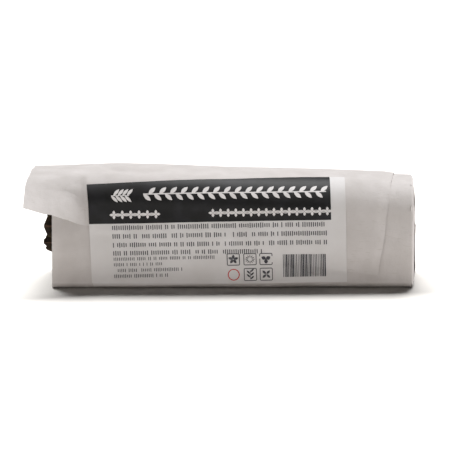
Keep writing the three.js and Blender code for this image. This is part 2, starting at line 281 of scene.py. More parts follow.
def wrinkles(point, turn=0):
    """Height of the paper's unevenness at a point"""
    spot = point + Vector((WAVES_STEP * turn, *WAVES_START))
    height, closeness = BROAD_WAVES
    broad = height * noise.noise(spot * closeness)
    stretched_spot = Vector((spot.x * BUCKLES_ALONG, spot.y * BUCKLES_ROUND, spot.z * BUCKLES_ROUND))
    buckles = BUCKLE_HEIGHT * noise.noise(stretched_spot)
    height, closeness = SMALL_WAVES
    return broad + buckles + height * noise.noise(spot * closeness)


def grid_normals(points):
    """Normals of a grid of points, and whether they point away from the roll's middle"""
    down, across = np.gradient(points, axis=0), np.gradient(points, axis=1)
    normals = np.cross(down, across)
    normals /= np.linalg.norm(normals, axis=2, keepdims=True) + 1e-12
    outwards = np.sum(normals * (points - ROLL_MIDDLE), axis=2).mean() > 0
    return normals, outwards


def outward_normals(points):
    normals, outwards = grid_normals(points)
    return normals if outwards else -normals


def wrinkled(points, turns, folds=None):
    """The grid of points with the paper's wrinkles raised along its normals, and none of it
    below the table"""
    normals = outward_normals(points)
    heights = np.array([[wrinkles(Vector(p), t) for p, t in zip(row, turn_row)]
                        for row, turn_row in zip(points, turns)])
    if folds is not None:
        heights = heights + folds
    raised = points + normals * heights[..., None]
    raised[..., 2] = np.maximum(raised[..., 2], 0)
    return raised


def mesh_object(name, points, faces):
    mesh = bpy.data.meshes.new(name)
    mesh.from_pydata([tuple(float(v) * MM for v in point) for point in points], [], faces)
    mesh.update()
    piece = bpy.data.objects.new(name, mesh)
    bpy.context.scene.collection.objects.link(piece)
    return piece


def grid_faces(rows, columns, first=0, closed=False):
    """Faces of a grid of points that are listed row by row"""
    last = columns if closed else columns - 1
    faces = []
    for row in range(rows - 1):
        for column in range(last):
            a, b = first + row * columns + column, first + row * columns + (column + 1) % columns
            faces.append((a, b, b + columns, a + columns))
    return faces


def grid_object(name, points):
    """A sheet through a grid of points, with its faces turned away from the roll's middle"""
    faces = grid_faces(*points.shape[:2])
    if grid_normals(points)[1]:
        faces = [face[::-1] for face in faces]
    return mesh_object(name, points.reshape(-1, 3), faces)


def applied(piece, kind, **settings):
    """The piece with one modifier applied to its mesh"""
    modifier = piece.modifiers.new(kind, kind)
    for setting, value in settings.items():
        setattr(modifier, setting, value)
    depsgraph = bpy.context.evaluated_depsgraph_get()
    mesh = bpy.data.meshes.new_from_object(piece.evaluated_get(depsgraph))
    piece.modifiers.remove(modifier)
    old = piece.data
    piece.data = mesh
    bpy.data.meshes.remove(old)
    return piece


def thicken(piece, thickness):
    """Gives a sheet its thickness, inwards from its outer face"""
    return applied(piece, "SOLIDIFY", thickness=thickness * MM, offset=-1)


def joined(name, pieces):
    """One piece from several"""
    points, faces = [], []
    for piece in pieces:
        first = len(points)
        points.extend(vertex.co / MM for vertex in piece.data.vertices)
        faces.extend([first + k for k in polygon.vertices] for polygon in piece.data.polygons)
        bpy.data.objects.remove(piece)
    return mesh_object(name, points, faces)


def finish_piece(piece, material, nodes=(), sharp=40):
    """Smooth shading, material, and what the piece stands for"""
    if material:
        piece.data.materials.clear()
        piece.data.materials.append(material)
    piece.data.shade_smooth()
    piece.data.set_sharp_from_angle(angle=math.radians(sharp))
    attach(piece, "root")
    if nodes:
        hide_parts(*nodes)
    return piece


# Paper sheet

# Steps in each part of the girth, where the paper is seen and where it is hidden
FINE_STEPS = [6, 6, 24, 14, 14, 12, 18, 8, 8]
PLAIN_STEPS = [2, 4, 12, 8, 7, 8, 9, 4, 4]
FREE_PART_STEPS = 24
PLAIN_FROM = 11
INNER_TURN_FROM = 8.5
LEFT_ZONE_END = -33
LEFT_ZONE_ROWS = 34
ROWS = 92


def sheet_places():
    """Places along the rolled sheet, from its free end to its inner end"""
    places = list(np.linspace(0, 1, FREE_PART_STEPS, endpoint=False))
    for part in range(1, math.ceil(INNER_END)):
        steps = (FINE_STEPS if part < PLAIN_FROM else PLAIN_STEPS)[(part + 2) % 9]
        places.extend(part + k / steps for k in range(steps))
    return [place for place in places if place < INNER_END] + [INNER_END]


def rolled_sheet():
    places = sheet_places()
    points = np.zeros((LEFT_ZONE_ROWS + ROWS + 1, len(places), 3))
    turns = np.zeros(points.shape[:2])
    folds = np.zeros(points.shape[:2])
    for column, place in enumerate(places):
        left = np.linspace(along(LEFT_EDGE, place), LEFT_ZONE_END, LEFT_ZONE_ROWS, endpoint=False)
        right = np.linspace(LEFT_ZONE_END, along(RIGHT_EDGE, place), ROWS + 1)
        for row, x in enumerate([*left, *right]):
            points[row, column] = sheet_point(x, place)
            folds[row, column] = soft_folds(x, place)
        turns[:, column] = place > INNER_TURN_FROM
    return grid_object("rolled_sheet", wrinkled(points, turns, folds))


# The folded end

CAP_DEPTH = 0.72
CAP_ROUNDING = 0.8
CAP_STEPS = [4, 6, 16, 12, 10, 10, 12, 6, 4]
# The cap's collar inside the roll, as (X, depth), and the rings of points on its face, as
# shares of the way from its middle to its rounding
CAP_COLLAR = [(48.6, CAP_DEPTH + 0.08), (49.8, CAP_DEPTH), (50.6, CAP_DEPTH)]
CAP_RINGS = (0.8, 0.65, 0.5, 0.35, 0.2, 0.08)
ROUNDING_RINGS = 9
# The cap's wrinkles rise away from a point this far behind each of its own
CAP_WRINKLES_BEHIND = 3
CAP_WRINKLES = 0.6
END_SET_BACK = 0.4
FLAP_INSET = CAP_DEPTH + 0.12
FLAP_STEPS = 26
# Each flap lies on the one before, rises on to it in its first part and thins out a little
# towards its tip, and the last two flaps' tips stand off
FLAP_LAYER = 0.21
FLAP_RISE = 0.3
FLAP_THINNING = 0.35
FLAP_TIP_LIFT = 0.4
FLAP_WRINKLES = 0.5


def inset_in_section(y, z):
    """Distance of a point of the folded end from the roll's outline"""
    half, height = half_width_at(FOLDED_END) - CAP_DEPTH, height_at(FOLDED_END) - CAP_DEPTH
    inset = min(half - abs(y), z - CAP_DEPTH, height - z)
    for centre_y, centre_z, radius in roll_corners(FOLDED_END):
        side = math.copysign(1, centre_y)
        beyond_y = (y - centre_y) * side
        beyond_z = (z - centre_z) * (1 if centre_z > height / 2 else -1)
        if beyond_y > 0 and beyond_z > 0:
            inset = min(inset, radius - CAP_DEPTH - math.hypot(beyond_y, beyond_z))
    return inset


def end_surface(inset):
    """X of the folded end's face, which is rounded where it meets the sides"""
    inset = clamp(inset, 0, CAP_ROUNDING)
    rounding = CAP_ROUNDING - math.sqrt(CAP_ROUNDING**2 - (CAP_ROUNDING - inset) ** 2)
    return FOLDED_END - rounding - END_SET_BACK


def end_cap():
    """Closes the folded end under its flaps"""
    girths = [part + k / steps for part, steps in enumerate(CAP_STEPS) for k in range(steps)]
    rings = [[roll_point(x, girth, depth) for girth in girths] for x, depth in CAP_COLLAR]
    for angle in np.linspace(0, QUARTER_TURN, ROUNDING_RINGS):
        inset = CAP_ROUNDING * (1 - math.cos(angle))
        outline = [roll_point(FOLDED_END, girth, CAP_DEPTH + inset) for girth in girths]
        rings.append([Vector((end_surface(inset), p.y, p.z)) for p in outline])
    face, middle_z = end_surface(CAP_ROUNDING), height_at(FOLDED_END) / 2
    outline = [roll_point(FOLDED_END, girth, CAP_DEPTH + CAP_ROUNDING) for girth in girths]
    for scale in CAP_RINGS:
        rings.append([Vector((face, p.y * scale, mix(middle_z, p.z, scale))) for p in outline])
    points = []
    for p in (p for ring in rings for p in ring):
        outwards = (p - Vector((p.x - CAP_WRINKLES_BEHIND, 0, middle_z))).normalized()
        points.append(p + outwards * CAP_WRINKLES * wrinkles(p, 1))
    count, middle = len(girths), len(points)
    last = middle - count
    points.append(Vector((face, 0, middle_z)))
    faces = grid_faces(len(rings), count, closed=True)
    faces += [(last + k, last + (k + 1) % count, middle) for k in range(count)]
    return mesh_object("end_cap", points, [face[::-1] for face in faces])


def end_flap(name, corners, layer):
    """One flap folded onto the end. Corners are (Y, Z): two at its fold and two at its tip."""
    base_start, base_end, tip_end, tip_start = [Vector(corner) for corner in corners]
    points = np.zeros((FLAP_STEPS + 1, FLAP_STEPS + 1, 3))
    for row, down in enumerate(np.linspace(0, 1, FLAP_STEPS + 1)):
        for column, share in enumerate(np.linspace(0, 1, FLAP_STEPS + 1)):
            start, end = base_start.lerp(tip_start, down), base_end.lerp(tip_end, down)
            y, z = start.lerp(end, share)
            inset = inset_in_section(y, z)
            raised = layer * FLAP_LAYER * smooth(down, 0, FLAP_RISE) * (1 - FLAP_THINNING * down)
            raised += FLAP_TIP_LIFT * down**3 if layer > 1 else 0
            x = end_surface(inset) + raised
            x += FLAP_WRINKLES * wrinkles(Vector((x, y, z)), layer + 2)
            points[row, column] = (x, y, z)
    return thicken(grid_object(name, points), PAPER)


def end_flaps():
    """The front and back are tucked in first, then the top is folded down and the underside up"""
    half = half_width_at(FOLDED_END) - FLAP_INSET
    top, bottom = height_at(FOLDED_END) - FLAP_INSET, FLAP_INSET
    front = [(-half, bottom + 2), (-half, top - 5), (-2.6, top - 9.5), (-3.2, bottom + 9)]
    back = [(half, bottom + 3), (half, top - 5), (3.4, top - 9), (2.8, bottom + 9.6)]
    folded = [(-half + 5.5, top), (half - 5, top), (5.2, 11.4), (-4.4, 12.1)]
    raised = [(-half + 1.6, bottom), (half - 2.4, bottom), (3.4, 15.2), (-4.3, 15.9)]
    return [
        end_flap("front_flap", front, 1),
        end_flap("back_flap", back, 1),
        end_flap("top_flap", folded, 2),
        end_flap("underside_flap", raised, 3),
    ]


def paper_sheet(material):
    sheet = thicken(rolled_sheet(), PAPER)
    cap = thicken(end_cap(), PAPER)
    piece = joined("paper_sheet", [sheet, cap, *end_flaps()])
    return finish_piece(piece, material, ["paper_wrap"])


# Label

# The label's top and bottom edges, as (X, girth)
LABEL_TOP = [(-36.2, 3.44), (34.5, 4.0)]
LABEL_BOTTOM = [(-34.3, 1.46), (35.2, 1.89)]
LABEL_RISE = 0.16
LABEL_THICKNESS = 0.12
LABEL_COLUMNS = 120
LABEL_ROWS = 56
LABEL_BRIDGE = 0.11


def label_depth(x, girth):
    """Depth of the paper under the label, which bridges the step at the sheet's free end"""
    free = free_end_girth(x)
    place = (girth - free) / (3 - free) if girth < 3 else girth - 2
    outer = pressed(x, max(place, 0))
    inner = TURN_PITCH * clamp(girth - 1)
    return mix(inner, outer, smooth(girth, free - LABEL_BRIDGE, free))


def label_place(across, down):
    """X and girth at shares across and down the label"""
    top = mix(LABEL_TOP[0][0], LABEL_TOP[1][0], across)
    bottom = mix(LABEL_BOTTOM[0][0], LABEL_BOTTOM[1][0], across)
    x = mix(top, bottom, down)
    top_girth = along(LABEL_TOP, x) + sag_at(x) / (QUARTER_TURN * front_top_at(x))
    return x, mix(top_girth, along(LABEL_BOTTOM, x), down)


class LabelSurface:
    """The label's printed face, as a grid of points that prints are laid on"""

    def __init__(self):
        points = np.zeros((LABEL_ROWS + 1, LABEL_COLUMNS + 1, 3))
        for row, down in enumerate(np.linspace(0, 1, LABEL_ROWS + 1)):
            for column, across in enumerate(np.linspace(0, 1, LABEL_COLUMNS + 1)):
                x, girth = label_place(across, down)
                points[row, column] = roll_point(x, girth, label_depth(x, girth) - LABEL_RISE)
        self.points = wrinkled(points, np.zeros(points.shape[:2]))
        self.normals = outward_normals(self.points)
        steps = np.linalg.norm(np.diff(self.points[::-1], axis=0), axis=2)
        self.up = np.vstack([np.zeros(LABEL_COLUMNS + 1), np.cumsum(steps, axis=0)])
        self.width = np.linalg.norm(np.diff(self.points[LABEL_ROWS // 2], axis=0), axis=1).sum()

    def at(self, across, up, height=0.0):
        """Point on the label, from millimetres across and up from its bottom left corner"""
        column = clamp(across / self.width) * LABEL_COLUMNS
        first = min(int(column), LABEL_COLUMNS - 1)
        share = column - first
        spots = []
        for k, weight in ((first, 1 - share), (first + 1, share)):
            row = LABEL_ROWS - np.interp(up, self.up[:, k], np.arange(LABEL_ROWS + 1))
            low = min(int(row), LABEL_ROWS - 1)
            part = row - low
            spot = mix(self.points[low, k], self.points[low + 1, k], part)
            normal = mix(self.normals[low, k], self.normals[low + 1, k], part)
            spots.append((spot + normal * height) * weight)
        return spots[0] + spots[1]


def front_label(surface, material):
    piece = grid_object("front_label", surface.points)
    return finish_piece(thicken(piece, LABEL_THICKNESS), material, ["label"])


# Trees of nodes

def new_tree(name, sizes):
    """A Geometry Nodes tree with a named input for each size, and those inputs' sockets"""
    tree = bpy.data.node_groups.new(name, "GeometryNodeTree")
    for label, value in sizes.items():
        kind = "NodeSocketInt" if isinstance(value, int) else "NodeSocketFloat"
        tree.interface.new_socket(label, in_out="INPUT", socket_type=kind).default_value = value
    tree.interface.new_socket("Mesh", in_out="OUTPUT", socket_type="NodeSocketGeometry")
    return tree, add(tree, "NodeGroupInput").outputs


def close_tree(tree, shapes, material):
    """Ends a tree with its shapes joined, made real and given their material"""
    join = add(tree, "GeometryNodeJoinGeometry")
    for shape in reversed(shapes):
        tree.links.new(shape, join.inputs[0])
    real = add(tree, "GeometryNodeRealizeInstances", {0: join.outputs[0]})
    painted = add(tree, "GeometryNodeSetMaterial", {"Geometry": real.outputs[0], "Material": material})
    add(tree, "NodeGroupOutput", {0: painted.outputs[0]})
    return tree


def calc(tree, operation, *values):
    return add(tree, "ShaderNodeMath", dict(enumerate(values)), operation=operation).outputs[0]


def vector(tree, x=0.0, y=0.0, z=0.0):
    return add(tree, "ShaderNodeCombineXYZ", {"X": x, "Y": y, "Z": z}).outputs[0]


def parts_of(tree, value):
    split = add(tree, "ShaderNodeSeparateXYZ", {0: value})
    return split.outputs["X"], split.outputs["Y"], split.outputs["Z"]


def position(tree):
    return add(tree, "GeometryNodeInputPosition").outputs[0]


def index(tree):
    return add(tree, "GeometryNodeInputIndex").outputs[0]


def placed(tree, shape, spot):
    return add(tree, "GeometryNodeSetPosition", {"Geometry": shape, "Position": spot}).outputs[0]


def random_between(tree, low, high, seed, salt=0):
    """A random number for each point. The salt tells apart draws that share a seed."""
    inputs = {2: low, 3: high, "Seed": calc(tree, "ADD", seed, float(salt))}
    return add(tree, "FunctionNodeRandomValue", inputs).outputs[1]


def instances(tree, points, shape, rotation=None, scale=None):
    inputs = {"Points": points, "Instance": shape}
    if rotation:
        inputs["Rotation"] = rotation
    if scale:
        inputs["Scale"] = scale
    return add(tree, "GeometryNodeInstanceOnPoints", inputs).outputs[0]


def plain_mesh(name, tree, **sizes):
    """The plain mesh that a tree makes with these sizes"""
    host = bpy.data.objects.new(name, bpy.data.meshes.new(name))
    bpy.context.scene.collection.objects.link(host)
    modifier = host.modifiers.new(name, "NODES")
    modifier.node_group = tree
    for item in tree.interface.items_tree:
        label = item.name.lower().replace(" ", "_")
        if item.in_out == "INPUT" and label in sizes:
            modifier[item.identifier] = sizes.pop(label)
    assert not sizes, f"{name} has no input {list(sizes)}"
    depsgraph = bpy.context.evaluated_depsgraph_get()
    mesh = bpy.data.meshes.new_from_object(host.evaluated_get(depsgraph))
    bpy.data.objects.remove(host)
    return mesh


def mesh_piece(name, meshes):
    """One object from one or more meshes"""
    pieces = []
    for mesh in meshes:
        piece = bpy.data.objects.new(name, mesh)
        bpy.context.scene.collection.objects.link(piece)
        pieces.append(piece)
    if len(pieces) > 1:
        with bpy.context.temp_override(active_object=pieces[0], selected_editable_objects=pieces):
            bpy.ops.object.join()
    return pieces[0]


def grown(name, tree, **sizes):
    """The points and the faces of the mesh that a tree makes with these sizes"""
    mesh = plain_mesh(name, tree, **sizes)
    points = [vertex.co.copy() for vertex in mesh.vertices]
    faces = [tuple(polygon.vertices) for polygon in mesh.polygons]
    bpy.data.meshes.remove(mesh)
    return points, faces


# Prints on the label, drawn flat in millimetres across and up from its bottom left corner

INK_HEIGHT = 0.06
INK_THICKNESS = 0.05
BAND_BOTTOM = 17.75
BAND_WIDTH = 66.4
BAND_COLUMNS = 110
BAND_ROWS = 22


def uprights_tree(material):
    """A row of short upright marks with gaps, or of stripes"""
    tree, size = new_tree("uprights", {
        "Count": 10, "Pitch": 0.6, "Width": 0.3, "Width spread": 0.0, "Height": 1.0,
        "Height spread": 0.0, "Gap share": 0.0, "Steps": 4, "Seed": 1})
    step = vector(tree, size["Pitch"])
    line = add(tree, "GeometryNodeMeshLine", {"Count": size["Count"], "Offset": step}).outputs[0]
    gap = {"Probability": size["Gap share"], "Seed": size["Seed"]}
    left_out = add(tree, "FunctionNodeRandomValue", gap, data_type="BOOLEAN").outputs[3]
    kept = add(tree, "GeometryNodeDeleteGeometry", {0: line, "Selection": left_out}).outputs[0]
    mark = {"Size X": 1.0, "Size Y": 1.0, "Vertices X": 2, "Vertices Y": size["Steps"]}
    mark = add(tree, "GeometryNodeMeshGrid", mark).outputs["Mesh"]
    wide = random_between(tree, calc(tree, "SUBTRACT", 1.0, size["Width spread"]),
                          calc(tree, "ADD", 1.0, size["Width spread"]), size["Seed"], 1)
    high = random_between(tree, 1.0, calc(tree, "ADD", 1.0, size["Height spread"]), size["Seed"], 2)
    scale = vector(tree, calc(tree, "MULTIPLY", size["Width"], wide),
                   calc(tree, "MULTIPLY", size["Height"], high), 1.0)
    return close_tree(tree, [instances(tree, kept, mark, scale=scale)], material)


def leaf_outline(tree):
    """A flat pointed leaf, 2 long and 2 wide, about the origin"""
    disc = add(tree, "GeometryNodeMeshCircle", {"Vertices": 18}, fill_type="TRIANGLE_FAN").outputs[0]
    x, y, _ = parts_of(tree, position(tree))
    return placed(tree, disc, vector(tree, x, calc(tree, "MULTIPLY", y, calc(tree, "ABSOLUTE", y))))


def garland_tree(material):
    """Leaves that lean up and down by turns from a thin stem"""
    tree, size = new_tree("garland", {
        "Count": 8, "Pitch": 2.0, "Leaf length": 2.4, "Leaf width": 0.8, "Lean": 0.6, "Stem": 0.2})
    step = vector(tree, size["Pitch"])
    line = add(tree, "GeometryNodeMeshLine", {"Count": size["Count"], "Offset": step}).outputs[0]
    side = calc(tree, "MULTIPLY_ADD", calc(tree, "MODULO", index(tree), 2.0), 2.0, -1.0)
    lean = calc(tree, "MULTIPLY", side, size["Lean"])
    reach = calc(tree, "MULTIPLY", size["Leaf length"], 0.5)
    out = vector(tree, calc(tree, "MULTIPLY", calc(tree, "COSINE", lean), reach),
                 calc(tree, "MULTIPLY", calc(tree, "SINE", lean), reach))
    inputs = {"Geometry": line, "Offset": out}
    leaves_at = add(tree, "GeometryNodeSetPosition", inputs).outputs[0]
    scale = vector(tree, reach, calc(tree, "MULTIPLY", size["Leaf width"], 0.5), 1.0)
    leaves = instances(tree, leaves_at, leaf_outline(tree), vector(tree, 0.0, 0.0, lean), scale)
    length = calc(tree, "MULTIPLY", size["Count"], size["Pitch"])
    stem = {"Size X": length, "Size Y": size["Stem"], "Vertices X": 90, "Vertices Y": 2}
    stem = add(tree, "GeometryNodeMeshGrid", stem).outputs["Mesh"]
    x, y, _ = parts_of(tree, position(tree))
    stem = placed(tree, stem, vector(tree, calc(tree, "ADD", x, calc(tree, "MULTIPLY", length, 0.5)), y))
    return close_tree(tree, [leaves, stem], material)


def rosette_tree(material):
    """Petals round a point"""
    tree, size = new_tree("rosette", {
        "Petals": 6, "Petal length": 1.2, "Petal width": 0.6, "Gap": 0.1, "Turn": 0.0})
    points = add(tree, "GeometryNodePoints", {"Count": size["Petals"]}).outputs[0]
    share = calc(tree, "DIVIDE", index(tree), size["Petals"])
    angle = calc(tree, "ADD", calc(tree, "MULTIPLY", share, FULL_TURN), size["Turn"])
    half = calc(tree, "MULTIPLY", size["Petal length"], 0.5)
    reach = calc(tree, "ADD", half, size["Gap"])
    points = placed(tree, points, vector(
        tree, calc(tree, "MULTIPLY", calc(tree, "COSINE", angle), reach),
        calc(tree, "MULTIPLY", calc(tree, "SINE", angle), reach)))
    scale = vector(tree, half, calc(tree, "MULTIPLY", size["Petal width"], 0.5), 1.0)
    petals = instances(tree, points, leaf_outline(tree), vector(tree, 0.0, 0.0, angle), scale)
    return close_tree(tree, [petals], material)


class Print:
    """Flat prints of one ink, gathered before they are laid on the label"""

    def __init__(self):
        self.points = []
        self.faces = []

    def place(self, flat, across, up, scale=1.0, turn=0.0):
        points, faces = flat
        first = len(self.points)
        cos, sin = math.cos(turn) * scale, math.sin(turn) * scale
        for point in points:
            self.points.append((across + cos * point[0] - sin * point[1],
                                up + sin * point[0] + cos * point[1]))
        self.faces.extend(tuple(first + k for k in face) for face in faces)

    def laid_on(self, surface, name, material, height=INK_HEIGHT):
        points = [surface.at(across, up, height) for across, up in self.points]
        piece = mesh_object(name, points, self.faces)
        for polygon in piece.data.polygons:
            if polygon.normal.y > 0:
                polygon.flip()
        return finish_piece(thicken(piece, INK_THICKNESS), material)


def frame_outline(size, corner, line, steps=5):
    """An outlined square with round corners, about the origin"""
    points, count = [], 4 * (steps + 1)
    for inner in (0, line):
        half, radius = size / 2 - inner, max(corner - inner, 0.02)
        for k in range(4):
            for step in range(steps + 1):
                angle = (k + step / steps) * QUARTER_TURN
                centre = (half - radius) * math.sqrt(2)
                middle = (k + 0.5) * QUARTER_TURN
                points.append((centre * math.cos(middle) + radius * math.cos(angle),
                               centre * math.sin(middle) + radius * math.sin(angle)))
    faces = [(k, (k + 1) % count, count + (k + 1) % count, count + k) for k in range(count)]
    return points, faces


def label_band(surface, material):
    """The black band along the top of the label"""
    points = []
    for row in range(BAND_ROWS + 1):
        for column in range(BAND_COLUMNS + 1):
            across = BAND_WIDTH * column / BAND_COLUMNS
            top = np.interp(across, np.linspace(0, surface.width, LABEL_COLUMNS + 1), surface.up[-1])
            up = mix(BAND_BOTTOM, top, row / BAND_ROWS)
            points.append(surface.at(across, up, INK_HEIGHT / 2))
    piece = mesh_object("label_band", points, grid_faces(BAND_ROWS + 1, BAND_COLUMNS + 1))
    return finish_piece(thicken(piece, INK_THICKNESS / 2), material)


TITLE_PLACE = (15.2, 25.8)
SPRIG_PLACE = (6.4, 25.5)
STAR_ROWS = ((6.9, 18.4), (34, 65.4))
STAR_PITCH = 2.1
STARS_UP = 20.2


def white_prints(surface, material):
    """Leaf ornaments on the band"""
    garland, rosette = garland_tree(material), rosette_tree(material)
    ink = Print()
    title = grown("title", garland, count=34, pitch=1.47, leaf_length=2.7, leaf_width=1.15,
                  lean=0.75, stem=0.34)
    ink.place(title, *TITLE_PLACE)
    sprig = grown("sprig", garland, count=8, pitch=0.62, leaf_length=2.5, leaf_width=0.85,
                  lean=0.8, stem=0.2)
    ink.place(sprig, *SPRIG_PLACE)
    star = grown("star", rosette, petals=4, petal_length=1.15, petal_width=0.75, gap=0.04)
    dot = grown("dot", rosette, petals=6, petal_length=0.5, petal_width=0.5, gap=0.0)
    for first, last in STAR_ROWS:
        steps = round((last - first) / STAR_PITCH)
        for k in range(steps + 1):
            across = mix(first, last, k / steps)
            ink.place(star, across, STARS_UP)
            if k < steps:
                ink.place(dot, across + (last - first) / steps / 2, STARS_UP)
    return ink.laid_on(surface, "label_white_prints", material)


# Rows of small marks under the band, as (across, up, width)
BODY_ROWS = [(6.4, 16.6, 59.6), (6.4, 14.15, 59.6), (6.4, 11.65, 59.6), (6.4, 9.35, 41.4)]
SMALL_ROWS = [(6.4, 7.7, 28), (6.4, 6.1, 13.6), (6.4, 4.45, 19.4), (6.4, 2.85, 15.6)]
BODY_PITCH = 0.58
SMALL_PITCH = 0.5
SQUARE_SIZE = 3.6
SQUARE_CORNER = 0.4
SQUARE_LINE = 0.22
SQUARES_ACROSS = (39.2, 43.8, 48.2)
SQUARES_UP = (7.0, 2.6)
FLOWER_TURN = 0.3
CLOVER_TURN = 0.5236
CROSS_TURN = 0.785
SPRIG_DROP = 1.35
RING_SIZE = 3.3
RING_LINE = 0.26
STRIPES = 26
STRIPED_BLOCK = (53.0, 5.0, 12.0, 6.6)


def dark_prints(surface, material):
    """Rows of small marks, outlined squares with plant marks, and a striped block"""
    uprights, rosette, garland = uprights_tree(material), rosette_tree(material), garland_tree(material)
    ink = Print()
    for seed, (across, up, width) in enumerate(BODY_ROWS):
        marks = grown("row", uprights, count=int(width / BODY_PITCH), pitch=BODY_PITCH, width=0.26,
                      height=0.95, height_spread=0.5, gap_share=0.2, seed=seed)
        ink.place(marks, across, up)
    for seed, (across, up, width) in enumerate(SMALL_ROWS):
        marks = grown("row", uprights, count=int(width / SMALL_PITCH), pitch=SMALL_PITCH, width=0.2,
                      height=0.75, height_spread=0.4, gap_share=0.2, seed=seed + 20)
        ink.place(marks, across, up)
    square = frame_outline(SQUARE_SIZE, SQUARE_CORNER, SQUARE_LINE)
    flower = grown("flower", rosette, petals=5, petal_length=1.35, petal_width=0.8, gap=0.08,
                   turn=FLOWER_TURN)
    sun = grown("sun", rosette, petals=12, petal_length=0.9, petal_width=0.24, gap=0.5)
    clover = grown("clover", rosette, petals=3, petal_length=1.4, petal_width=1.1, gap=0.0,
                   turn=CLOVER_TURN)
    sprig = grown("sprig", garland, count=5, pitch=0.5, leaf_length=1.4, leaf_width=0.5,
                  lean=0.8, stem=0.12)
    cross = grown("cross", rosette, petals=4, petal_length=1.4, petal_width=0.7, gap=0.06,
                  turn=CROSS_TURN)
    # The red ring has the first place of the lower row
    for k, motif in {0: flower, 1: sun, 2: clover, 4: sprig, 5: cross}.items():
        across, up = SQUARES_ACROSS[k % 3], SQUARES_UP[k // 3]
        ink.place(square, across, up)
        upright = motif is sprig
        drop, turn = (SPRIG_DROP, QUARTER_TURN) if upright else (0, 0)
        ink.place(motif, across, up - drop, turn=turn)
    across, up, width, height = STRIPED_BLOCK
    stripes = grown("stripes", uprights, count=STRIPES, pitch=width / STRIPES, width=0.26,
                    width_spread=0.55, height=height, steps=24, seed=7)
    ink.place(stripes, across, up)
    return ink.laid_on(surface, "label_dark_prints", material)


def red_print(surface, material):
    """A plain ring among the squares"""
    ink = Print()
    ring = frame_outline(RING_SIZE, RING_SIZE / 2, RING_LINE, steps=9)
    ink.place(ring, SQUARES_ACROSS[0], SQUARES_UP[1])
    return ink.laid_on(surface, "label_red_print", material)


# Leafy stems and thread, which are round in their own measure and pressed into the roll

BUNDLE_TWIST = math.radians(24)
BUNDLE_REACH = 13.25
BUNDLE_SQUARENESS = 2.8
BUNDLE_CLEARANCE = 1.75
# Towards the open end the bundle loosens, and its low leaves are shorter, between these places
LOOSE_TIPS = 0.2
LOOSE_PART = (40, 47)
LOWER_TIPS_SHORT = 2.6
SHORTER_PART = (38, 48.5)
LOW_PART = (8.5, 11.5)
STEM_CIRCLE = 6.1
STEM_RADIUS = 1.0
STEM_CUT_END = 50.0
STEM_TIP = -41.0
STEM_STATIONS = 60
SIDE_STEMS = 6
LEAF_THICKNESS = 0.26
LEAF_STATIONS = 37
LEAF_COLUMNS = 9
LEAF_REACH = 11.5
# A leaf's shape: how narrow it is at its root, its cupping, its midrib, and its veins
LEAF_ROOT_WIDTH = 0.2
LEAF_SWELL = 0.85 * math.pi
LEAF_CUPPING = -0.5
MIDRIB_REACH = 0.3
VEINS = 9.0
VEIN_LEAN = -2.0
VEIN_HEIGHT = 0.09
GOLDEN_TURN = math.pi * (3 - math.sqrt(5))


def bundle_point(x, radius, angle):
    """Place in the roll of a point of the bundle, as CAD has it"""
    turned = angle + BUNDLE_TWIST * end_share(x)
    across, up = math.cos(turned), math.sin(turned)
    n = BUNDLE_SQUARENESS
    to_square = (abs(across) ** n + abs(up) ** n) ** (-1 / n)
    reach = radius / BUNDLE_REACH * to_square * (1 + LOOSE_TIPS * smooth(-x, *LOOSE_PART))
    middle = height_at(x) / 2
    y = reach * across * (half_width_at(x) - BUNDLE_CLEARANCE)
    z = middle + reach * up * (middle - BUNDLE_CLEARANCE)
    low = 1 - smooth(z, *LOW_PART)
    return Vector((x + LOWER_TIPS_SHORT * low * smooth(-x, *SHORTER_PART), y, z))


def pressed_into_roll(mesh):
    """Moves a mesh that lies round the X axis to its place in the roll, in metres"""
    for vertex in mesh.vertices:
        x, y, z = vertex.co
        vertex.co = bundle_point(x, math.hypot(y, z), math.atan2(z, y)) * MM
    return mesh


def round_the_axis(tree, x, radius, angle):
    return vector(tree, x, calc(tree, "MULTIPLY", radius, calc(tree, "COSINE", angle)),
                  calc(tree, "MULTIPLY", radius, calc(tree, "SINE", angle)))


